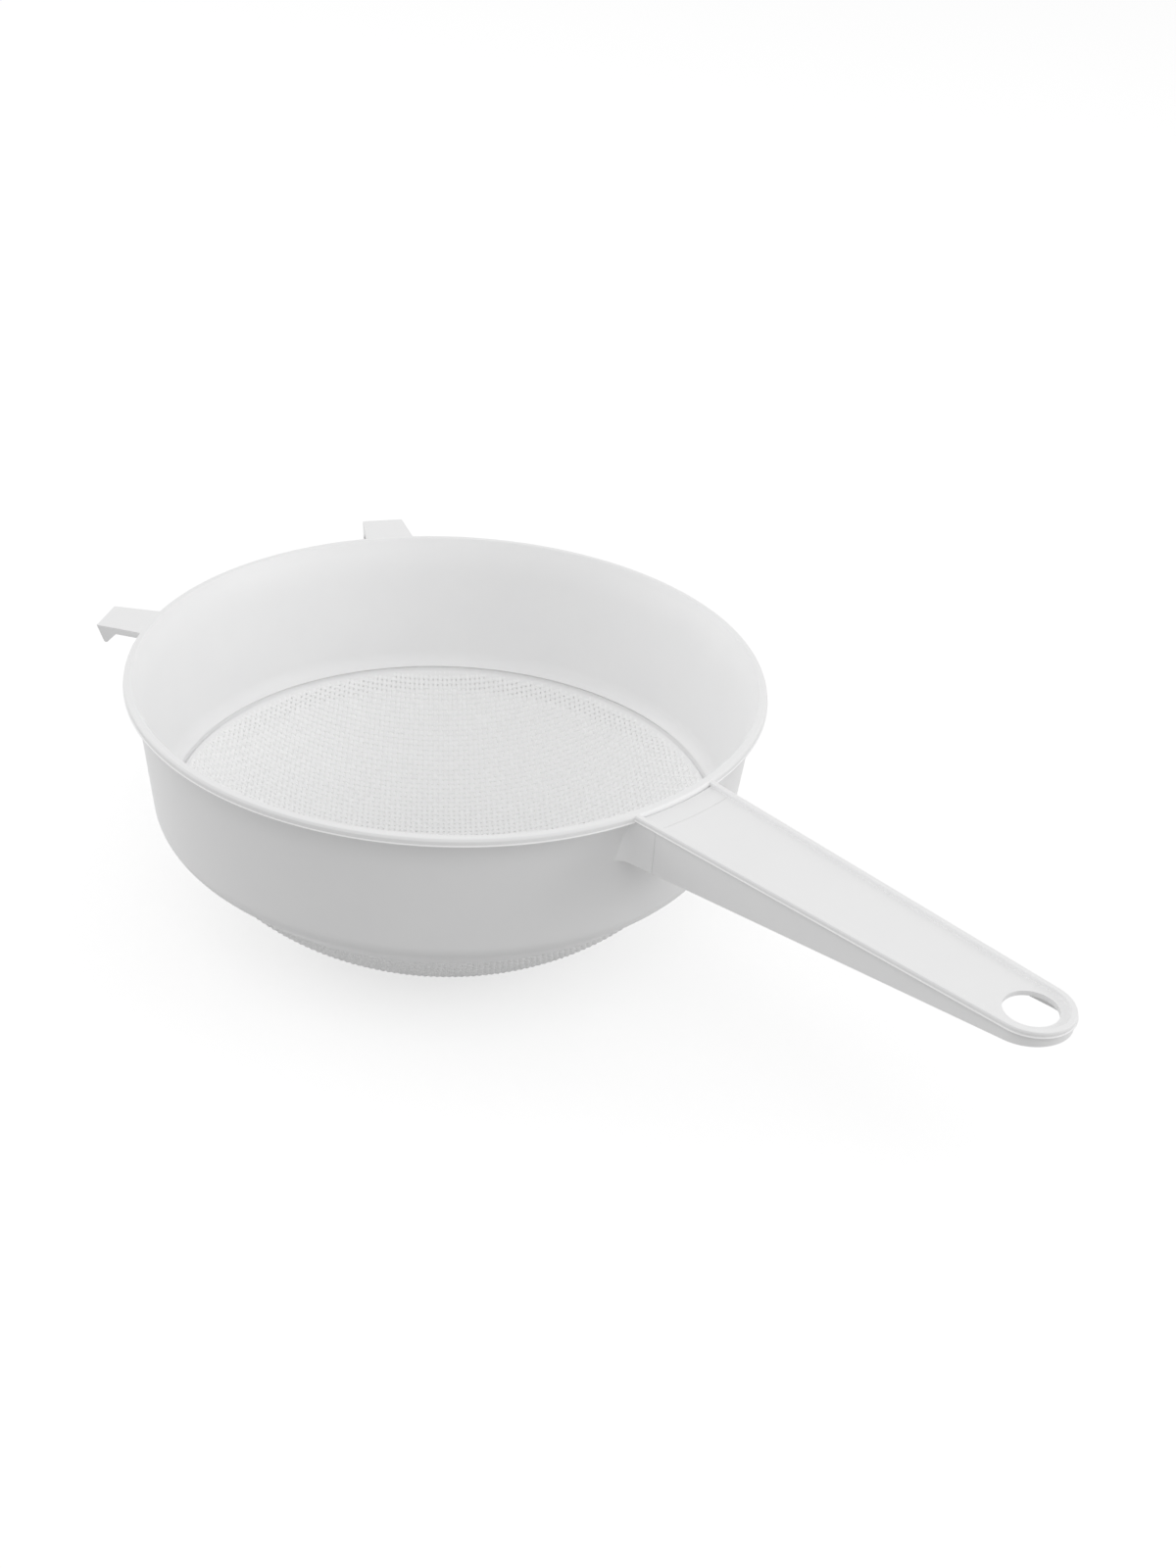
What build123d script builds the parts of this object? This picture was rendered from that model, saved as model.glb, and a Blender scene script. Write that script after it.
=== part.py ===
from build123d import *
import math
import os

# Hand strainer: a drum-shaped moulded basket with a flared rim, a woven bowl
# moulded into its lower edge, a long channel handle and two resting hooks.
# Millimetres. Depths are measured down from the rim's top, and the finished
# pieces are raised so that the bowl's flat bottom lies on Z = 0. The basket's
# axis is Z and the handle runs along +X.

# Rim
rim_radius = 100.0
rim_width = 3.6
rim_height = 2.6
rim_top_width = 2.3
rim_bevel = 0.8
rim_bevel_drop = 1.4
rim_chamfer = 0.5
rim_edge_chamfer = 0.25

# Drum wall
wall_thickness = 1.8
rim_overhang = 4.2
rim_shelf = 1.7
cove_depth = 12.0
flare_depth = 10.0
wall_draft = 5.65

# Shoulder and seat of the woven bowl
seat_inset = 16.7
seat_depth = 53.8
shoulder_angle = 44.0
shoulder_chamfer = 3.2
collar_height = 5.1
rebate_length = 6.5

# Woven bowl
net_thickness = 1.0
net_edge_angle = 57.0
knuckle_radius = 73.3
knuckle_bands = 3
crown_radius = 500.0
base_flat_depth = 0.5
net_pitch = 20.0
net_bar = 5.6
net_margin = 1.0
weave_angle = 51.2

# Handle
hang_hole_distance = 221.0
hang_hole_radius = 7.25
tip_radius = 11.6
root_width = 32.3
lip_drop = 0.5
lip_width = 2.0
lip_height = 1.7
lip_chamfer = 0.5
tray_recess = 1.3
side_inset = 0.6
handle_wall = 1.6
floor_thickness = 1.4
root_depth = 16.6
tip_depth = 5.8
root_blend = 4.0
rib_count = 4
rib_thickness = 1.2
rib_height_share = 0.6

# Hooks
hook_reach = 14.0
hook_root_width = 16.6
hook_end_width = 14.2
hook_thickness = 2.1
hook_drop = 0.3
hook_lip_drop = 6.2
hook_lip_lean = 2.6
hook_lip_base = 6.5
hook_lip_round = 0.8
left_hook_angle = 35.0
right_hook_angle = 28.0

# One length by which cutting tools run past the material
overrun = 5.0

up = (0, 0, 1)
down = (0, 0, -1)

os.makedirs("parts", exist_ok=True)


# Slopes are angles from the horizontal of a surface that falls towards the axis

def up_slope(angle):
    """Unit vector up along the slope, away from the axis."""
    return Vector(math.cos(math.radians(angle)), math.sin(math.radians(angle)))


def inner_normal(angle):
    """Unit vector square to the slope, to the inside of the basket."""
    return Vector(-math.sin(math.radians(angle)), math.cos(math.radians(angle)))


def chamfered(face, point, length):
    """The face with the corner at that point cut off."""
    corner = face.vertices().sort_by_distance(Vector(*point))[0]
    return chamfer(corner, length)


def turned(section):
    """Solid of revolution about Z of a face drawn as radius and height."""
    return revolve(Plane.XZ * section, Axis.Z)


def rounded(face, point, radius):
    """The face with the corner at that point rounded."""
    corner = face.vertices().sort_by_distance(Vector(*point))[0]
    return fillet(corner, radius)


# Basket profile, as radius and height below the rim's top

wall_angle = 90 - wall_draft
wall_top_radius = rim_radius - rim_overhang
wall_span = wall_thickness / math.cos(math.radians(wall_draft))


def wall_radius(depth):
    """Outer radius of the straight wall at a depth below the rim's top."""
    return wall_top_radius - (depth - cove_depth) * math.tan(math.radians(wall_draft))


seat_radius = rim_radius - seat_inset
seat_edge = Vector(seat_radius, -seat_depth)
seat_backing = wall_thickness - net_thickness


def shoulder_corner(offset):
    """Where the wall's line meets the shoulder's line, both offset inwards."""
    foot = seat_edge + inner_normal(shoulder_angle) * offset
    shoulder_rate = math.tan(math.radians(shoulder_angle))
    draft_rate = math.tan(math.radians(wall_draft))
    wall_at_top = wall_radius(0) - offset / math.cos(math.radians(wall_draft))
    shoulder_at_axis = foot.Y - foot.X * shoulder_rate
    radius = (wall_at_top + shoulder_at_axis * draft_rate) / (1 - draft_rate * shoulder_rate)
    return Vector(radius, shoulder_at_axis + radius * shoulder_rate)


outer_corner = shoulder_corner(0)
inner_corner = shoulder_corner(wall_thickness)
split_depth = -outer_corner.Y - collar_height

# Rim: a chamfered lip that stands out over the wall

rim_inner_radius = rim_radius - rim_width
rim_top_outer = rim_radius - rim_bevel
rim_section = Polygon(
    (rim_inner_radius, -rim_height),
    (rim_top_outer - rim_top_width, 0),
    (rim_top_outer, 0),
    (rim_radius, -rim_bevel_drop),
    (rim_radius, -rim_height),
    align=None,
)
rim_section = chamfered(rim_section, (rim_top_outer - rim_top_width, 0), rim_chamfer)
rim_section = chamfered(rim_section, (rim_top_outer, 0), rim_chamfer)
rim_section = chamfered(rim_section, (rim_radius, -rim_height), rim_edge_chamfer)
rim = turned(rim_section)

# Wall: a drafted drum that flares out under the rim

wall_direction = up_slope(wall_angle)
flare_outer = Vector(wall_top_radius, -cove_depth)
flare_inner = Vector(wall_radius(flare_depth) - wall_span, -flare_depth)
top_outer = Vector(rim_radius - rim_shelf, -rim_height)
top_inner = Vector(rim_inner_radius, -rim_height)
split_outer = Vector(wall_radius(split_depth), -split_depth)
split_inner = Vector(wall_radius(split_depth) - wall_span, -split_depth)
wall_section = make_face(
    Curve()
    + [
        Line(split_outer, flare_outer),
        TangentArc(flare_outer, top_outer, tangent=wall_direction),
        Line(top_outer, top_inner),
        Line(top_inner, flare_inner),
        Line(flare_inner, split_inner),
        Line(split_inner, split_outer),
    ]
)
basket_wall = turned(wall_section)

# Mesh seat: the chamfered shoulder, with a rebate inside that holds the cloth

slope_up = up_slope(shoulder_angle)
slope_in = inner_normal(shoulder_angle)
rebate_low = seat_edge + slope_in * seat_backing
rebate_high = rebate_low + slope_up * rebate_length
rebate_top = rebate_high + slope_in * net_thickness
seat_section = Polygon(
    split_outer,
    outer_corner,
    seat_edge,
    rebate_low,
    rebate_high,
    rebate_top,
    inner_corner,
    split_inner,
    align=None,
)
seat_section = chamfered(seat_section, outer_corner, shoulder_chamfer)
mesh_seat = turned(seat_section)

# Woven bowl: a band in the rebate, a knuckle in straight bands and a shallow crown

edge_in = inner_normal(net_edge_angle)
knuckle_centre = rebate_low + edge_in * knuckle_radius
crown_angle = math.degrees(math.asin(knuckle_centre.X / (crown_radius - knuckle_radius)))
crown_in = inner_normal(crown_angle)
crown_centre = knuckle_centre + crown_in * (crown_radius - knuckle_radius)
bowl_bottom = crown_centre.Y - crown_radius
basket_height = -(bowl_bottom + base_flat_depth)
half_crown_in = inner_normal(crown_angle / 2)
band_angle = (net_edge_angle - crown_angle) / knuckle_bands


def bowl_line(inset):
    """Bands of the knuckle, then the crown, of the bowl's outer face moved in by the inset."""
    angles = [net_edge_angle - band_angle * index for index in range(knuckle_bands + 1)]
    corners = [knuckle_centre - inner_normal(angle) * (knuckle_radius - inset) for angle in angles]
    middle = crown_centre - half_crown_in * (crown_radius - inset)
    end = Vector(0, bowl_bottom + inset)
    return [Polyline(*corners), ThreePointArc(corners[-1], middle, end)]


outer_line = bowl_line(0)
inner_line = bowl_line(net_thickness)
bowl_section = make_face(
    Curve()
    + [
        Line(rebate_top, rebate_high),
        Line(rebate_high, outer_line[0] @ 0),
        *outer_line,
        Line(outer_line[1] @ 1, inner_line[1] @ 1),
        *inner_line,
        Line(inner_line[0] @ 0, rebate_top),
    ]
)
bowl = turned(bowl_section)

net_hole = net_pitch - net_bar
net_reach = seat_radius - net_margin
half_count = int(net_reach / net_pitch) + 1
steps = [index * net_pitch + net_pitch / 2 for index in range(-half_count, half_count)]
hole_places = []
for x_place in steps:
    for y_place in steps:
        far_corner = math.hypot(abs(x_place) + net_hole / 2, abs(y_place) + net_hole / 2)
        if far_corner < net_reach:
            hole_places.append(Pos(x_place, y_place))
net_face = Circle(rim_radius) - [place * Rectangle(net_hole, net_hole) for place in hole_places]
net_face = Rot(0, 0, weave_angle) * net_face
net_grid = extrude(Pos(0, 0, -basket_height) * net_face, basket_height, dir=up)
mesh_net = bowl & net_grid

# Outer envelope of the moulded basket, which trims what joins it

envelope_section = make_face(
    Curve()
    + [
        Line((0, 0), (rim_top_outer, 0)),
        Line((rim_top_outer, 0), (rim_radius, -rim_bevel_drop)),
        Line((rim_radius, -rim_bevel_drop), (rim_radius, -rim_height)),
        Line((rim_radius, -rim_height), top_outer),
        TangentArc(flare_outer, top_outer, tangent=wall_direction),
        Line(flare_outer, split_outer),
        Line(split_outer, (0, -split_depth)),
        Line((0, -split_depth), (0, 0)),
    ]
)
envelope_section = chamfered(envelope_section, (rim_top_outer, 0), rim_chamfer)
envelope_section = chamfered(envelope_section, (rim_radius, -rim_height), rim_edge_chamfer)
envelope = turned(envelope_section)

# Handle outline: two sides that taper to a round tip, centred on the hang hole

handle_run = hang_hole_distance - rim_radius
taper_angle = math.acos(tip_radius / math.hypot(root_width / 2, handle_run)) - math.atan2(
    handle_run, root_width / 2
)
handle_start = wall_radius(root_depth) - overrun
handle_end = hang_hole_distance + tip_radius + overrun


def handle_outline(inset):
    """Plan of the handle, moved in by the inset, from inside the wall to the tip."""
    radius = tip_radius - inset
    touch_x = hang_hole_distance + radius * math.sin(taper_angle)
    touch_y = radius * math.cos(taper_angle)
    start_y = touch_y + (touch_x - handle_start) * math.tan(taper_angle)
    return make_face(
        Curve()
        + [
            Line((handle_start, start_y), (touch_x, touch_y)),
            ThreePointArc((touch_x, touch_y), (hang_hole_distance + radius, 0), (touch_x, -touch_y)),
            Line((touch_x, -touch_y), (handle_start, -start_y)),
            Line((handle_start, -start_y), (handle_start, start_y)),
        ]
    )


def lower_edge(distance):
    """Height of the handle's sloping lower edge at a distance from the axis."""
    return -root_depth + (root_depth - tip_depth) * (distance - rim_radius) / handle_run


def handle_block(top, share):
    """Block from a height down to a share of the way to the handle's lower edge."""
    side_view = Polygon(
        (handle_start, top),
        (handle_end, top),
        (handle_end, top + (lower_edge(handle_end) - top) * share),
        (handle_start, top + (lower_edge(handle_start) - top) * share),
        align=None,
    )
    return extrude(Plane.XZ * side_view, root_width, both=True)


lip_top = -lip_drop
floor_top = lip_top - tray_recess
floor_bottom = floor_top - floor_thickness

# Handle shell: a tray floor on two side walls that join round the tip, ribbed beneath

wall_at_root = wall_radius(-lower_edge(handle_start))
side_plan = handle_outline(side_inset) + Circle(wall_at_root)
for side in (1, -1):
    root_corner = Vector(wall_at_root, side * root_width / 2)
    side_plan = rounded(side_plan, root_corner, root_blend)
plan_window = Pos(handle_start, 0) * Rectangle(
    handle_end - handle_start, root_width * 2, align=(Align.MIN, Align.CENTER)
)
shell = extrude(side_plan & plan_window, root_depth + overrun, dir=down) & handle_block(floor_top, 1)
channel_plan = Pos(0, 0, floor_bottom) * handle_outline(side_inset + handle_wall)
channel = extrude(channel_plan, root_depth + overrun, dir=down)
rib_block = handle_block(floor_bottom, rib_height_share) & channel
rib_step = (handle_run - tip_radius) / (rib_count + 1)
rib_plate = Box(rib_thickness, root_width, root_depth * 2)
rib_places = [rim_radius + rib_step * (index + 1) for index in range(rib_count)]
ribs = [rib_block & Pos(rib_x, 0, 0) * rib_plate for rib_x in rib_places]
hole_span = (floor_thickness + overrun) * 2
hang_hole = Pos(hang_hole_distance, 0, floor_top) * Cylinder(hang_hole_radius, hole_span)
handle_shell = shell - channel + ribs - hang_hole - envelope

# Handle lip: a chamfered bead round the tray that laps the shell's upper edge

lip_ring = handle_outline(0) - handle_outline(lip_width)
handle_lip = extrude(Pos(0, 0, lip_top) * lip_ring, lip_height, dir=down)
lip_edges = handle_lip.edges().group_by(Axis.Z)[-1]
long_edges = lip_edges.filter_by(lambda edge: edge.length > tip_radius)
handle_lip = chamfer(long_edges, lip_chamfer)
handle_lip = handle_lip - handle_shell - envelope

# Hooks: a tapered plate with a blunt lip turned down at its end


def hook(angle):
    """Hook that points away from the axis, at an angle from the handle."""
    start = rim_radius - rim_width
    end = rim_radius + hook_reach
    top = -hook_drop
    under = top - hook_thickness
    lip_tip = Vector(end - hook_lip_lean, top - hook_lip_drop)
    side_view = Polygon(
        (start, top),
        (end, top),
        lip_tip,
        (end - hook_lip_base, under),
        (start, under),
        align=None,
    )
    side_view = rounded(side_view, lip_tip, hook_lip_round)
    plan = Polygon(
        (start, hook_root_width / 2),
        (end, hook_end_width / 2),
        (end, -hook_end_width / 2),
        (start, -hook_root_width / 2),
        align=None,
    )
    blank = extrude(Plane.XZ * side_view, hook_root_width, both=True)
    column = extrude(plan, hook_drop + hook_lip_drop + overrun, dir=down)
    return Rot(0, 0, angle) * (blank & column) - envelope


left_hook = hook(180 + left_hook_angle)
right_hook = hook(180 - right_hook_angle)

# Bowl cut flat where the strainer stands, and everything raised onto Z = 0

stand = Pos(0, 0, -basket_height) * Box(
    rim_radius * 2, rim_radius * 2, overrun, align=(Align.CENTER, Align.CENTER, Align.MAX)
)
mesh_net = mesh_net - stand

pieces = {
    "rim": rim,
    "basket_wall": basket_wall,
    "mesh_seat": mesh_seat,
    "mesh_net": mesh_net,
    "handle_shell": handle_shell,
    "handle_lip": handle_lip,
    "left_hook": left_hook,
    "right_hook": right_hook,
}
for name, piece in pieces.items():
    raised = Pos(0, 0, basket_height) * piece
    export_step(raised, f"parts/{name}.step")
    print(name, len(raised.solids()), round(raised.volume, 1))
print("basket height", round(basket_height, 2), "holes", len(hole_places))
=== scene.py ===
import math

import bpy
import numpy as np
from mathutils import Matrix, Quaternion, Vector


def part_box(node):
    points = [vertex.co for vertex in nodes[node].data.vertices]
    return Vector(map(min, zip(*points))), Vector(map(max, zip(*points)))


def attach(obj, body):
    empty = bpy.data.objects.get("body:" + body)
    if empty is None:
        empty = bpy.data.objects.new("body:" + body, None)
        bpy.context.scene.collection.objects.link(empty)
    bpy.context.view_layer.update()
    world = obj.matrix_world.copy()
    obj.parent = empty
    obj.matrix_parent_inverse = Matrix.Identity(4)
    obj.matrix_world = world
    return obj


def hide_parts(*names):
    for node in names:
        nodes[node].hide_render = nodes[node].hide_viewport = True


# Hand strainer: one white moulding, and a bowl of woven monofilament in its lower edge.
# Metres and degrees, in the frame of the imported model: +Z up, the handle along +X.

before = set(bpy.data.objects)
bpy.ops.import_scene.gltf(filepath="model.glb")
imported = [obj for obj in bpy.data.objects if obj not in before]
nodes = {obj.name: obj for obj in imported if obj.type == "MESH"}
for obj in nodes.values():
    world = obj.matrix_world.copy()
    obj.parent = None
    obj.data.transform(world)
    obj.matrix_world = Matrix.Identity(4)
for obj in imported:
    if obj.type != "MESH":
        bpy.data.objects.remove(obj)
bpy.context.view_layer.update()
mm = 0.001

rim_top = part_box("rim")[1].z

# Camera

view_azimuth = 44.07
view_elevation = 31.09
view_roll = 4.18
view_distance = 557.8 * mm
aim_point = Vector((78.3 * mm, -15.0 * mm, rim_top))
lens_mm = 45.0
sensor_mm = 36.0
clip_near = 0.01
clip_far = 100.0

# Rim

rim_radius = 100.0 * mm
rim_width = 3.6 * mm
rim_height = 2.6 * mm
rim_crest_inset = 2.6 * mm
rim_crest_round = 0.55 * mm
rim_brow_inset = 0.7 * mm
rim_brow_drop = 0.25 * mm
rim_brow_round = 0.5 * mm
rim_face_drop = 1.0 * mm
rim_face_round = 0.8 * mm

# Thin ledge along the lower edge of the rim's and the handle's outer face

ledge_width = 0.25 * mm
ledge_rise = 0.2 * mm
ledge_round = 0.06 * mm

# Drum wall, with a cove under the rim

wall_thickness = 1.8 * mm
rim_overhang = 4.2 * mm
rim_shelf = 1.7 * mm
cove_depth = 12.0 * mm
wall_draft = 5.65
collar_height = 5.1 * mm

# Shoulder and seat of the woven bowl

seat_radius = 83.3 * mm
seat_depth = 53.8 * mm
seat_edge_round = 0.35 * mm
shoulder_angle = 44.0
shoulder_round = 9.0 * mm
rebate_length = 6.5 * mm

# Woven bowl

weave_angle = 51.2
thread_pitch = 1.92 * mm
thread_width = 1.5 * mm
thread_height = 1.0 * mm
crimp_height = 0.3 * mm
edge_sink = 0.2 * mm
cloth_thickness = 1.0 * mm
cloth_edge_angle = 57.0
knuckle_radius = 73.3 * mm
crown_radius = 500.0 * mm
profile_steps = 120
steps_per_crossing = 2
thread_sides = 8
slope_nudge = 0.2 * mm

# Plastic that flowed into the cloth's edge, cell by cell

flash_start = 85.9 * mm
flash_end = 88.8 * mm
flash_depth = 1.3 * mm
spare_cells = 2

# Handle

hang_hole_distance = 221.0 * mm
tip_radius = 11.6 * mm
root_width = 32.3 * mm
lip_drop = 0.5 * mm
lip_width = 2.0 * mm
lip_height = 1.7 * mm
lip_round = 0.35 * mm
lip_inner_round = 0.3 * mm
lip_brow_inset = 0.45 * mm
lip_face_drop = 0.55 * mm
lip_face_round = 0.5 * mm
lip_root = 2.0 * mm
tray_recess = 1.3 * mm
side_inset = 0.6 * mm

# Roots of the hooks, from the rim's softened face to the hooks themselves

hook_azimuths = {"left_hook_root": 215.0, "right_hook_root": 152.0}
hook_width = 16.5 * mm
hook_top_drop = 0.32 * mm
hook_under_drop = 2.38 * mm
hook_root_depth = 2.2 * mm
hook_root_lap = 0.05 * mm
hook_root_steps = 12

# Mark that the mould left across the tray

mark_radius = 107.0 * mm
mark_width = 0.35 * mm
mark_depth = 0.1 * mm
mark_strength = 1

# Smoothness of the turned and swept pieces

turn_steps = 288
corner_steps = 6
curve_steps = 24
guard = 0.12 * mm
long_run = 4 * guard
sharp_angle = 38.0

# Plastic: satin, with a mottle and the grain of the mould

plastic_dark = (0.925, 0.925, 0.927, 1)
plastic_light = (0.935, 0.935, 0.935, 1)
plastic_roughness = (0.36, 0.46)
plastic_ior = 1.49
plastic_specular = 0.3
plastic_mottle = {"scale": 60, "detail": 3}
plastic_grain = {"scale": 2600, "detail": 2}
grain_depth = 0.02 * mm
grain_strength = 0.5

# Thread of the cloth, a little glossier than the plastic

thread_dark = (0.97, 0.97, 0.97, 1)
thread_light = (0.99, 0.99, 0.99, 1)
thread_roughness = (0.3, 0.42)
thread_ior = 1.53
thread_specular = 0.4
thread_mottle = {"scale": 400, "detail": 2}

# Where the colours of a mottle start and end

ramp_start = 0.3
ramp_end = 0.7

# Floor, lights and world

floor_size = 12.0
floor_colour = (0.45, 0.45, 0.45, 1)
floor_roughness = 0.9
floor_glow = 0.66
white = (1, 1, 1, 1)
background_strength = 1.0
world_fill = 0.65
light_target = Vector((0.05, 0, 0.05))
lights = {
    "front": {"stand": (0.78, -0.76, 1.76), "size": 1.0, "power": 4},
    "left": {"stand": (-1.65, -0.79, 0.73), "size": 1.2, "power": 8},
    "right": {"stand": (1.49, 1.21, 0.73), "size": 1.2, "power": 9.5},
}


def slope(angle):
    """Unit vector up a slope, as radius and height."""
    return np.array([math.cos(math.radians(angle)), math.sin(math.radians(angle))])


def inward(angle):
    """Unit vector square to a slope, to the inside of the basket."""
    return np.array([-math.sin(math.radians(angle)), math.cos(math.radians(angle))])


def unit(vector):
    """The vector at length 1."""
    return vector / np.linalg.norm(vector)


def arc(start, end, start_run):
    """Points of the arc from start to end that leaves start along the run given."""
    chord = end - start
    side = np.array([-start_run[1], start_run[0]])
    radius = np.dot(chord, chord) / (2 * np.dot(chord, side))
    centre = start + side * radius
    first = math.atan2(*(start - centre)[::-1])
    turn = math.atan2(*(end - centre)[::-1]) - first
    turn = (turn + math.pi) % (2 * math.pi) - math.pi
    angles = first + turn * np.linspace(0, 1, curve_steps)
    return [
        centre + abs(radius) * np.array([math.cos(angle), math.sin(angle)]) for angle in angles
    ]


def soften(corners):
    """Closed outline through the corners, each a place and its rounding."""
    outline = []
    for index, (here, rounding) in enumerate(corners):
        if rounding == 0:
            outline.append(np.array(here))
            continue
        back = unit(corners[index - 1][0] - here)
        ahead = unit(corners[(index + 1) % len(corners)][0] - here)
        half = math.acos(np.dot(back, ahead)) / 2
        centre = here + unit(back + ahead) * rounding / math.sin(half)
        start = here + back * rounding / math.tan(half) - centre
        end = here + ahead * rounding / math.tan(half) - centre
        sweep = math.pi - 2 * half
        for share in np.linspace(0, 1, corner_steps + 1):
            weights = math.sin((1 - share) * sweep), math.sin(share * sweep)
            outline.append(centre + (start * weights[0] + end * weights[1]) / math.sin(sweep))
    return outline


def guarded(outline):
    """The outline with a point close to each end of its long runs, so that flats shade flat."""
    points = []
    for index, here in enumerate(outline):
        following = outline[(index + 1) % len(outline)]
        run = following - here
        points.append(here)
        if np.linalg.norm(run) > long_run:
            points.append(here + unit(run) * guard)
            points.append(following - unit(run) * guard)
    return points


def new_piece(name, points, faces):
    """A mesh object, smooth but for its sharp edges."""
    mesh = bpy.data.meshes.new(name)
    mesh.from_pydata([tuple(point) for point in points], [], faces)
    mesh.polygons.foreach_set("use_smooth", [True] * len(mesh.polygons))
    mesh.set_sharp_from_angle(angle=math.radians(sharp_angle))
    mesh.update()
    piece = bpy.data.objects.new(name, mesh)
    bpy.context.scene.collection.objects.link(piece)
    return piece


def ring_faces(rows, columns, closed):
    """Quads between rows of points, each row a loop. Closed joins the last row to the first."""
    faces = []
    for row in range(rows if closed else rows - 1):
        following = (row + 1) % rows
        for column in range(columns):
            beside = (column + 1) % columns
            faces.append(
                (
                    row * columns + column,
                    row * columns + beside,
                    following * columns + beside,
                    following * columns + column,
                )
            )
    return faces


def end_caps(rows, columns):
    """The faces that close the first and the last of the rows."""
    last = (rows - 1) * columns
    return [list(range(columns))[::-1], list(range(last, last + columns))]


def turned(name, outline):
    """The closed outline, as radius and height, turned about the basket's axis."""
    points = []
    for step in range(turn_steps):
        angle = 2 * math.pi * step / turn_steps
        points += [(r * math.cos(angle), r * math.sin(angle), z) for r, z in outline]
    return new_piece(name, points, ring_faces(turn_steps, len(outline), True))


# Profile of the basket, as radius and height

wall_angle = 90 - wall_draft
wall_top_radius = rim_radius - rim_overhang
wall_span = wall_thickness / math.cos(math.radians(wall_draft))
draft_rate = math.tan(math.radians(wall_draft))
seat_edge = np.array([seat_radius, rim_top - seat_depth])
seat_backing = wall_thickness - cloth_thickness


def place(radius, depth):
    """A point at a radius and a depth below the rim's top."""
    return np.array([radius, rim_top - depth])


def wall_radius(depth):
    """Outer radius of the straight wall at a depth below the rim's top."""
    return wall_top_radius - (depth - cove_depth) * draft_rate


def shoulder_corner(offset):
    """Where the wall's line meets the shoulder's line, both offset inwards."""
    foot = seat_edge + inward(shoulder_angle) * offset
    rate = math.tan(math.radians(shoulder_angle))
    wall_at_top = wall_radius(0) - offset / math.cos(math.radians(wall_draft))
    height = foot[1] - rim_top
    radius = (wall_at_top + (height - foot[0] * rate) * draft_rate) / (1 - draft_rate * rate)
    return np.array([radius, foot[1] + (radius - foot[0]) * rate])


outer_corner = shoulder_corner(0)
inner_corner = shoulder_corner(wall_thickness)
split_depth = rim_top - outer_corner[1] - collar_height
split_outer = place(wall_radius(split_depth), split_depth)
split_inner = place(wall_radius(split_depth) - wall_span, split_depth)


def rim_outline():
    """Section of the rim: a crest near the inside, a brow that falls to the face, and a ledge."""
    face_radius = rim_radius - ledge_width
    ledge_top = rim_height - ledge_rise
    return soften(
        [
            (place(rim_radius - rim_width, rim_height), 0),
            (place(rim_radius - rim_crest_inset, 0), rim_crest_round),
            (place(rim_radius - rim_brow_inset, rim_brow_drop), rim_brow_round),
            (place(face_radius, rim_face_drop), rim_face_round),
            (place(face_radius, ledge_top - ledge_width), 0),
            (place(rim_radius, ledge_top), ledge_round),
            (place(rim_radius, rim_height), ledge_round),
        ]
    )


def wall_outline():
    """Section of the wall: straight with draft, and coved out to the rim on both sides."""
    up = slope(wall_angle)
    outer_foot = place(wall_top_radius, cove_depth)
    inner_foot = place(wall_top_radius - wall_span, cove_depth)
    outer = arc(outer_foot, place(rim_radius - rim_shelf, rim_height), up)
    inner = arc(inner_foot, place(rim_radius - rim_width, rim_height), up)
    return [split_outer] + outer + inner[::-1] + [split_inner]


def seat_outline():
    """Section of the shoulder: rounded outside and in, down to the seat of the cloth."""
    low = seat_edge + inward(shoulder_angle) * seat_backing
    flash_foot = low + slope(shoulder_angle) * (flash_end - low[0]) / slope(shoulder_angle)[0]
    flash_top = flash_foot + inward(shoulder_angle) * cloth_thickness
    return soften(
        [
            (split_outer, 0),
            (outer_corner, shoulder_round),
            (seat_edge, seat_edge_round),
            (low, seat_edge_round),
            (flash_foot, 0),
            (flash_top, 0),
            (inner_corner, shoulder_round - wall_thickness),
            (split_inner, 0),
        ]
    )


# Woven bowl


def bowl_profile():
    """Radius and height of the cloth's middle surface, from the axis to its edge."""
    middle = cloth_thickness / 2
    low = seat_edge + inward(shoulder_angle) * seat_backing
    knuckle_centre = low + inward(cloth_edge_angle) * knuckle_radius
    crown_tilt = math.degrees(math.asin(knuckle_centre[0] / (crown_radius - knuckle_radius)))
    crown_centre = knuckle_centre + inward(crown_tilt) * (crown_radius - knuckle_radius)
    crown = [
        crown_centre - inward(angle) * (crown_radius - middle)
        for angle in np.linspace(0, crown_tilt, profile_steps)
    ]
    knuckle = [
        knuckle_centre - inward(angle) * (knuckle_radius - middle)
        for angle in np.linspace(crown_tilt, cloth_edge_angle, profile_steps)
    ]
    band_low = low + inward(shoulder_angle) * middle
    reaches = np.linspace(0, rebate_length, profile_steps)
    band = [band_low + slope(shoulder_angle) * reach for reach in reaches]
    band = [point for point in band if point[0] > knuckle[-1][0]]
    points = np.array(crown + knuckle[1:] + band)
    lowest = thread_height / 2 + crimp_height
    points[:, 1] = np.maximum(points[:, 1], lowest)
    return points


profile = bowl_profile()
profile_runs = np.linalg.norm(np.diff(profile, axis=0), axis=1)
profile_reach = np.concatenate([[0], np.cumsum(profile_runs)])


def bowl_height(radius):
    """Height of the cloth's middle surface at a radius."""
    return np.interp(radius, profile[:, 0], profile[:, 1])


def pressed(flat):
    """Where points of the flat cloth come to in plan, as it keeps its length down the slope."""
    reach = np.maximum(np.hypot(flat[:, 0], flat[:, 1]), guard)
    return flat * (np.interp(reach, profile_reach, profile[:, 0]) / reach)[:, None]


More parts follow.
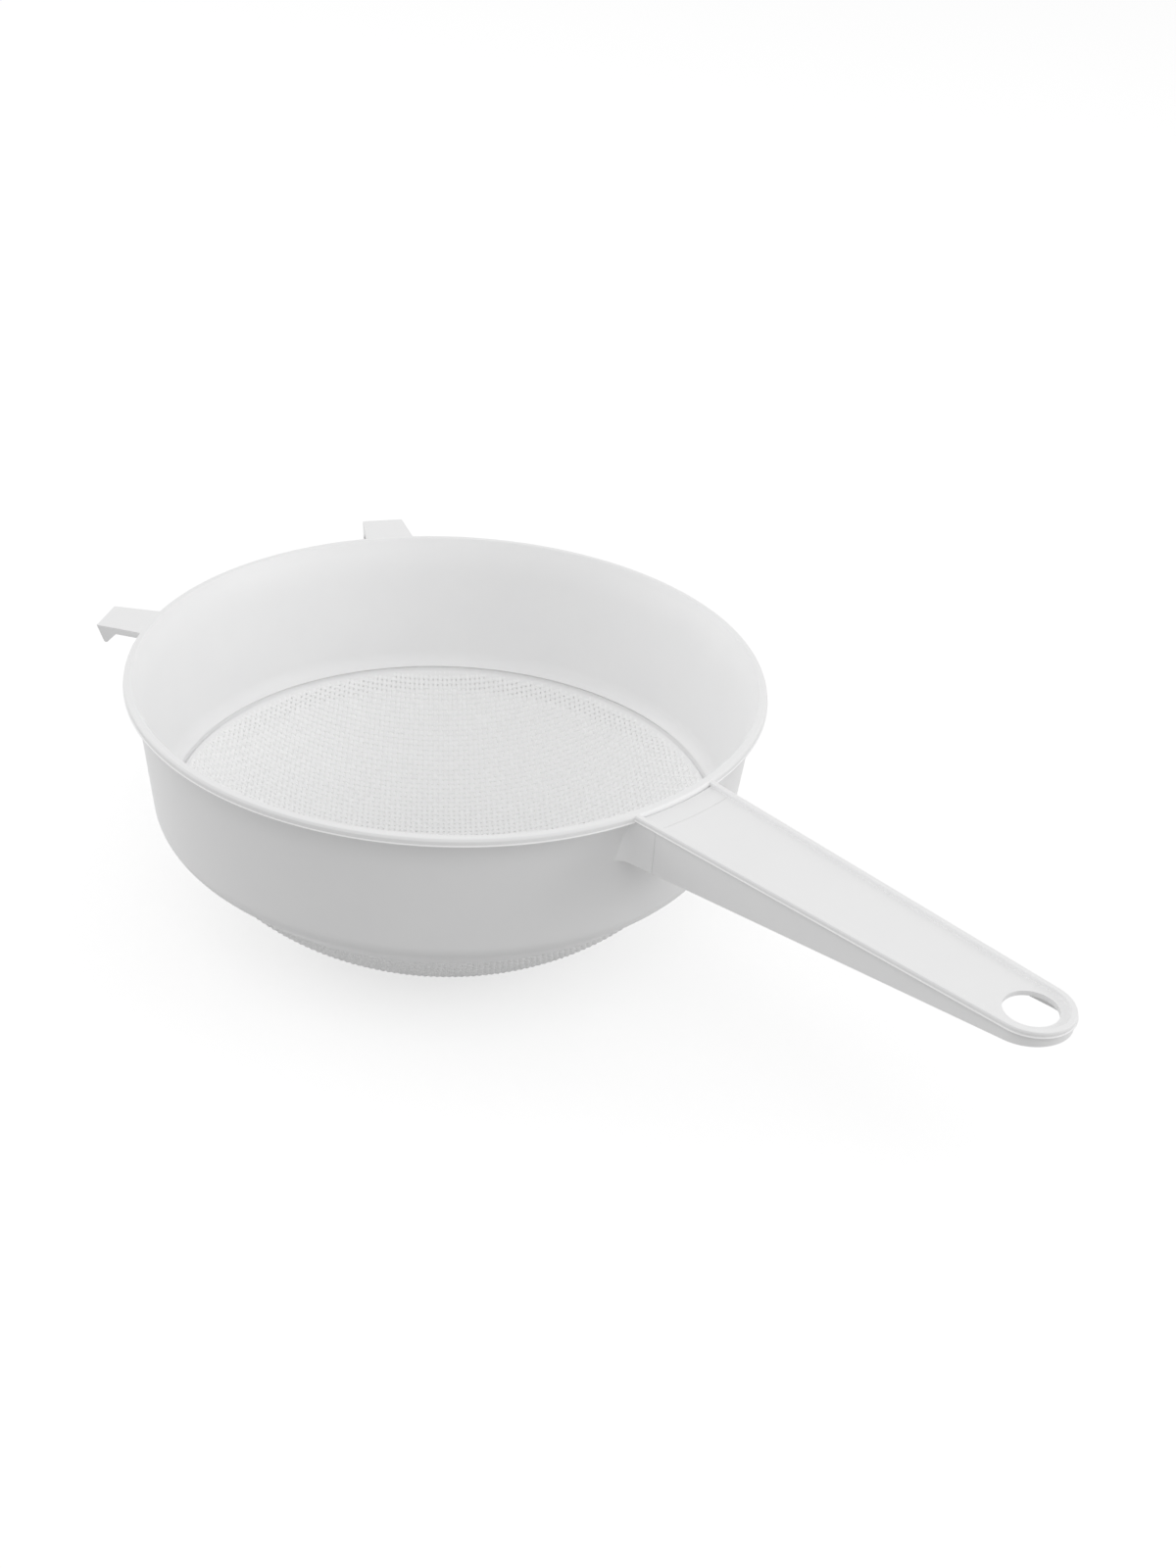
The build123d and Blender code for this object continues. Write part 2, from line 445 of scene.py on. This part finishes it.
def bowl_normals(points):
    """Unit normals of the cloth's middle surface, up and inwards, at points in plan."""
    radius = np.hypot(points[:, 0], points[:, 1])
    above = bowl_height(radius + slope_nudge)
    below = bowl_height(np.maximum(radius - slope_nudge, 0))
    rise = (above - below) / (2 * slope_nudge)
    outward = points[:, :2] / np.maximum(radius, slope_nudge)[:, None]
    normals = np.column_stack([-outward * rise[:, None], np.ones(len(points))])
    return normals / np.linalg.norm(normals, axis=1)[:, None]


def thread(along, across, offset, phase):
    """Centreline and normals of one thread: a line of the flat cloth, pressed and crimped."""
    reach = math.sqrt(profile_reach[-1] ** 2 - offset**2)
    steps = int(reach / thread_pitch * steps_per_crossing)
    places = np.arange(-steps, steps + 1) * thread_pitch / steps_per_crossing
    places = np.concatenate([[-reach], places, [reach]])
    plan = pressed(along[None, :] * places[:, None] + across[None, :] * offset)
    radius = np.hypot(plan[:, 0], plan[:, 1])
    flat = np.column_stack([plan, bowl_height(radius)])
    normals = bowl_normals(flat)
    free = np.clip((flash_start + thread_pitch - radius) / thread_pitch, 0, 1)
    crimp = crimp_height * phase * np.cos(math.pi * places / thread_pitch) * free
    rise = crimp - edge_sink * (1 - free)
    return flat + normals * rise[:, None], normals


def tube(line, normals):
    """Points and faces of a closed thread of oval section along a line."""
    run = np.gradient(line, axis=0)
    run /= np.linalg.norm(run, axis=1)[:, None]
    side = np.cross(run, normals)
    side /= np.linalg.norm(side, axis=1)[:, None]
    rise = np.cross(side, run)
    turn = np.arange(thread_sides) * 2 * math.pi / thread_sides
    across = np.cos(turn)[None, :, None] * side[:, None, :] * thread_width / 2
    upward = np.sin(turn)[None, :, None] * rise[:, None, :] * thread_height / 2
    points = (line[:, None, :] + across + upward).reshape(-1, 3)
    return points, ring_faces(len(line), thread_sides, False) + end_caps(len(line), thread_sides)


def weave_axes(angle):
    """Unit vectors in plan along and across the threads of one direction."""
    along = np.array([math.cos(math.radians(angle)), math.sin(math.radians(angle))])
    return along, np.array([-along[1], along[0]])


def threads(name, angle, sign):
    """All the threads of one direction as one mesh object."""
    along, across = weave_axes(angle)
    half_count = int(profile_reach[-1] / thread_pitch)
    points, faces = [], []
    for index in range(-half_count, half_count + 1):
        phase = sign if index % 2 == 0 else -sign
        line, normals = thread(along, across, index * thread_pitch, phase)
        new_points, new_faces = tube(line, normals)
        faces += [[corner + len(points) for corner in face] for face in new_faces]
        points += new_points.tolist()
    return new_piece(name, points, faces)


def flash():
    """Plates of plastic in the cells at the cloth's edge, with the steps of the weave inside."""
    along, across = weave_axes(weave_angle)
    count = int(profile_reach[-1] / thread_pitch) + spare_cells
    inner_reach, outer_reach = np.interp([flash_start, flash_end], profile[:, 0], profile_reach)
    cells = set()
    for column in range(-count, count):
        for row in range(-count, count):
            corners = [math.hypot(column + i, row + j) for i in (0, 1) for j in (0, 1)]
            centre = math.hypot(column + 0.5, row + 0.5)
            if centre * thread_pitch > inner_reach and min(corners) * thread_pitch < outer_reach:
                cells.add((column, row))
    places, points, faces = {}, [], []

    def corner(column, row, level):
        """Index of the plate's corner at a crossing of the weave."""
        key = (column, row, level)
        if key not in places:
            plan = pressed((along * column + across * row)[None, :] * thread_pitch)[0]
            radius = np.linalg.norm(plan)
            plan = plan * min(1, flash_end / radius)
            low = seat_edge + inward(shoulder_angle) * (wall_thickness - level * flash_depth)
            out = np.linalg.norm(plan) - low[0]
            height = low[1] + out * math.tan(math.radians(shoulder_angle))
            places[key] = len(points)
            points.append((plan[0], plan[1], height))
        return places[key]

    for column, row in sorted(cells):
        loop = [(column, row), (column + 1, row), (column + 1, row + 1), (column, row + 1)]
        beside = [(column, row - 1), (column + 1, row), (column, row + 1), (column - 1, row)]
        faces.append([corner(*at, 0) for at in loop])
        faces.append([corner(*at, 1) for at in reversed(loop)])
        for index, neighbour in enumerate(beside):
            if neighbour not in cells:
                start, end = loop[index], loop[(index + 1) % 4]
                ring = [(start, 1), (end, 1), (end, 0), (start, 0)]
                faces.append([corner(*at, level) for at, level in ring])
    return new_piece("seat_flash", points, faces)


# Handle's lip


def handle_line(inset):
    """Plan of the handle at an inset, from inside the rim round the tip and back."""
    run = hang_hole_distance - rim_radius
    half_root = root_width / 2
    taper = math.acos(tip_radius / math.hypot(half_root, run)) - math.atan2(run, half_root)
    radius = tip_radius - inset
    start = rim_radius - lip_root
    touch_x = hang_hole_distance + radius * math.sin(taper)
    start_y = radius * math.cos(taper) + (touch_x - start) * math.tan(taper)
    turn = np.linspace(math.pi / 2 - taper, taper - math.pi / 2, 2 * curve_steps)
    tip = [(hang_hole_distance + radius * math.cos(a), radius * math.sin(a)) for a in turn]
    return [(start, start_y)] + tip + [(start, -start_y)]


def lip():
    """The bead round the tray, lapped over the shell's upper edge, with a ledge like the rim's."""
    top = rim_top - lip_drop
    floor = top - tray_recess
    foot = top - lip_height
    section = guarded(
        soften(
            [
                (np.array([lip_brow_inset, top]), lip_round),
                (np.array([lip_width, top]), lip_inner_round),
                (np.array([lip_width, floor]), 0),
                (np.array([side_inset, floor]), 0),
                (np.array([side_inset, foot]), 0),
                (np.array([0, foot]), ledge_round),
                (np.array([0, foot + ledge_rise]), ledge_round),
                (np.array([ledge_width, foot + ledge_rise + ledge_width]), 0),
                (np.array([ledge_width, top - lip_face_drop]), lip_face_round),
            ]
        )
    )
    lines = [handle_line(inset) for inset, height in section]
    rows, columns = len(lines[0]), len(section)
    points = []
    for step in range(rows):
        points += [(*line[step], height) for line, (inset, height) in zip(lines, section)]
    faces = ring_faces(rows, columns, False) + end_caps(rows, columns)
    return new_piece("handle_bead", points, faces)


def hook_root(name, azimuth):
    """A hook's root: a piece of ring under the crest of the rim, as wide as the hook."""
    half = math.degrees(math.asin(hook_width / 2 / rim_radius))
    section = [
        place(rim_radius - hook_root_depth, hook_under_drop),
        place(rim_radius + hook_root_lap, hook_under_drop),
        place(rim_radius + hook_root_lap, hook_top_drop),
        place(rim_radius - hook_root_depth, hook_top_drop),
    ]
    rows, columns = hook_root_steps + 1, len(section)
    points = []
    for angle in np.radians(np.linspace(azimuth - half, azimuth + half, rows)):
        points += [(r * math.cos(angle), r * math.sin(angle), z) for r, z in section]
    return new_piece(name, points, ring_faces(rows, columns, False) + end_caps(rows, columns))


# Materials


def new_material(name):
    """A new material, with its node tree and its Principled shader."""
    material = bpy.data.materials.new(name)
    material.use_nodes = True
    return material, material.node_tree, material.node_tree.nodes["Principled BSDF"]


def noise(tree, scale, detail):
    """A noise texture in object coordinates, in metres."""
    coordinates = tree.nodes.new("ShaderNodeTexCoord")
    texture = tree.nodes.new("ShaderNodeTexNoise")
    texture.inputs["Scale"].default_value = scale
    texture.inputs["Detail"].default_value = detail
    tree.links.new(coordinates.outputs["Object"], texture.inputs["Vector"])
    return texture.outputs["Fac"]


def ramp(tree, value, low, high):
    """A colour ramp between two colours."""
    node = tree.nodes.new("ShaderNodeValToRGB")
    node.color_ramp.elements[0].position = ramp_start
    node.color_ramp.elements[1].position = ramp_end
    node.color_ramp.elements[0].color = low
    node.color_ramp.elements[1].color = high
    tree.links.new(value, node.inputs["Fac"])
    return node.outputs["Color"]


def span(tree, value, low, high):
    """A value from 0 to 1 mapped to a range."""
    node = tree.nodes.new("ShaderNodeMapRange")
    node.inputs["To Min"].default_value = low
    node.inputs["To Max"].default_value = high
    tree.links.new(value, node.inputs["Value"])
    return node.outputs["Result"]


def bump(tree, value, distance, strength, base=None):
    """A bump of a height in metres, over another bump where one is given."""
    node = tree.nodes.new("ShaderNodeBump")
    node.inputs["Distance"].default_value = distance
    node.inputs["Strength"].default_value = strength
    tree.links.new(value, node.inputs["Height"])
    if base is not None:
        tree.links.new(base, node.inputs["Normal"])
    return node.outputs["Normal"]


def near(tree, value, centre):
    """From 0 where a length is at the mark's centre, to 1 half the mark's width away."""
    offset = tree.nodes.new("ShaderNodeMath")
    offset.operation = "SUBTRACT"
    offset.inputs[1].default_value = centre
    tree.links.new(value, offset.inputs[0])
    gap = tree.nodes.new("ShaderNodeMath")
    gap.operation = "ABSOLUTE"
    tree.links.new(offset.outputs[0], gap.inputs[0])
    rise = tree.nodes.new("ShaderNodeMapRange")
    rise.inputs["From Max"].default_value = mark_width / 2
    tree.links.new(gap.outputs[0], rise.inputs["Value"])
    return rise.outputs["Result"]


def tray_mark(tree):
    """A hairline groove across the tray, on an arc near the rim."""
    coordinates = tree.nodes.new("ShaderNodeTexCoord")
    plan = tree.nodes.new("ShaderNodeVectorMath")
    plan.operation = "MULTIPLY"
    plan.inputs[1].default_value = (1, 1, 0)
    tree.links.new(coordinates.outputs["Object"], plan.inputs[0])
    radius = tree.nodes.new("ShaderNodeVectorMath")
    radius.operation = "LENGTH"
    tree.links.new(plan.outputs["Vector"], radius.inputs[0])
    return near(tree, radius.outputs["Value"], mark_radius)


def moulded_plastic(name, marked=False):
    """White polypropylene: satin, faintly mottled, with the fine grain of the mould."""
    material, tree, shader = new_material(name)
    mottle = noise(tree, **plastic_mottle)
    grain = noise(tree, **plastic_grain)
    tree.links.new(ramp(tree, mottle, plastic_dark, plastic_light), shader.inputs["Base Color"])
    tree.links.new(span(tree, mottle, *plastic_roughness), shader.inputs["Roughness"])
    normal = bump(tree, grain, grain_depth, grain_strength)
    if marked:
        normal = bump(tree, tray_mark(tree), mark_depth, mark_strength, normal)
    tree.links.new(normal, shader.inputs["Normal"])
    shader.inputs["IOR"].default_value = plastic_ior
    shader.inputs["Specular IOR Level"].default_value = plastic_specular
    return material


def monofilament():
    """White nylon thread: a little whiter and glossier than the moulding, and mottled."""
    material, tree, shader = new_material("monofilament")
    mottle = noise(tree, **thread_mottle)
    tree.links.new(ramp(tree, mottle, thread_dark, thread_light), shader.inputs["Base Color"])
    tree.links.new(span(tree, mottle, *thread_roughness), shader.inputs["Roughness"])
    shader.inputs["IOR"].default_value = thread_ior
    shader.inputs["Specular IOR Level"].default_value = thread_specular
    return material


def seen_rays(tree, strength):
    """A strength for camera, glossy and transmission rays only."""
    path = tree.nodes.new("ShaderNodeLightPath")
    total = path.outputs["Is Camera Ray"]
    for name in ("Is Glossy Ray", "Is Transmission Ray"):
        add = tree.nodes.new("ShaderNodeMath")
        add.operation = "MAXIMUM"
        tree.links.new(total, add.inputs[0])
        tree.links.new(path.outputs[name], add.inputs[1])
        total = add.outputs[0]
    glow = tree.nodes.new("ShaderNodeMath")
    glow.operation = "MULTIPLY"
    glow.inputs[1].default_value = strength
    tree.links.new(total, glow.inputs[0])
    return glow.outputs[0]


def floor_material():
    """Floor that is grey to the lighting and glows white to camera, mirror and glass rays."""
    material, tree, shader = new_material("floor_white")
    shader.inputs["Base Color"].default_value = floor_colour
    shader.inputs["Roughness"].default_value = floor_roughness
    shader.inputs["Specular IOR Level"].default_value = 0
    shader.inputs["Emission Color"].default_value = white
    tree.links.new(seen_rays(tree, floor_glow), shader.inputs["Emission Strength"])
    return material


def dress(piece, node, material):
    """Puts a piece in place of its CAD node."""
    piece.data.materials.append(material)
    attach(piece, "root")
    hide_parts(node)


plastic = moulded_plastic("moulded_plastic")
tray_plastic = moulded_plastic("moulded_tray", marked=True)
for name, node in nodes.items():
    node.data.materials.clear()
    node.data.materials.append(tray_plastic if name == "handle_shell" else plastic)

dress(turned("rim_band", guarded(rim_outline())), "rim", plastic)
for name, azimuth in hook_azimuths.items():
    dress(hook_root(name, azimuth), "rim", plastic)
dress(turned("drum_wall", guarded(wall_outline())), "basket_wall", plastic)
dress(turned("seat_ring", guarded(seat_outline())), "mesh_seat", plastic)
dress(flash(), "mesh_seat", plastic)
dress(lip(), "handle_lip", plastic)

filament = monofilament()
warp = threads("mesh_warp", weave_angle, 1)
weft = threads("mesh_weft", weave_angle + 90, -1)
dress(warp, "mesh_net", filament)
dress(weft, "mesh_net", filament)

# Stage

floor_mesh = bpy.data.meshes.new("floor")
half = floor_size / 2
floor_corners = [(-half, -half, 0), (half, -half, 0), (half, half, 0), (-half, half, 0)]
floor_mesh.from_pydata(floor_corners, [], [(0, 1, 2, 3)])
floor = bpy.data.objects.new("floor", floor_mesh)
bpy.context.scene.collection.objects.link(floor)
floor.data.materials.append(floor_material())


def area_light(name, stand, size, power):
    """A square area light that points at the basket."""
    lamp = bpy.data.lights.new(name, "AREA")
    lamp.size = size
    lamp.energy = power
    lit = bpy.data.objects.new(name, lamp)
    lit.location = stand
    lit.rotation_mode = "QUATERNION"
    lit.rotation_quaternion = (light_target - Vector(stand)).to_track_quat("-Z", "Y")
    bpy.context.scene.collection.objects.link(lit)


for name, light in lights.items():
    area_light(name, **light)

world = bpy.data.worlds.new("studio")
world.use_nodes = True
world_tree = world.node_tree
sky = world_tree.nodes["Background"]
sky.inputs["Color"].default_value = white
fill = world_tree.nodes.new("ShaderNodeMath")
fill.operation = "MAXIMUM"
fill.inputs[1].default_value = world_fill
world_tree.links.new(seen_rays(world_tree, background_strength), fill.inputs[0])
world_tree.links.new(fill.outputs[0], sky.inputs["Strength"])
bpy.context.scene.world = world

# Camera


def place_camera():
    """The photograph's view: an azimuth and elevation about the aim point, then a roll."""
    turn, tilt = math.radians(view_azimuth), math.radians(view_elevation)
    flat, rise = math.cos(tilt), math.sin(tilt)
    back = Vector((math.sin(turn) * flat, -math.cos(turn) * flat, rise))
    camera_data = bpy.data.cameras.new("camera")
    camera_data.lens = lens_mm
    camera_data.sensor_width = sensor_mm
    camera_data.clip_start = clip_near
    camera_data.clip_end = clip_far
    camera = bpy.data.objects.new("camera", camera_data)
    camera.location = aim_point + back * view_distance
    camera.rotation_mode = "QUATERNION"
    level = (-back).to_track_quat("-Z", "Y")
    camera.rotation_quaternion = level @ Quaternion((0, 0, 1), math.radians(view_roll))
    bpy.context.scene.collection.objects.link(camera)
    bpy.context.scene.camera = camera


place_camera()
bpy.context.scene.view_settings.view_transform = "Standard"
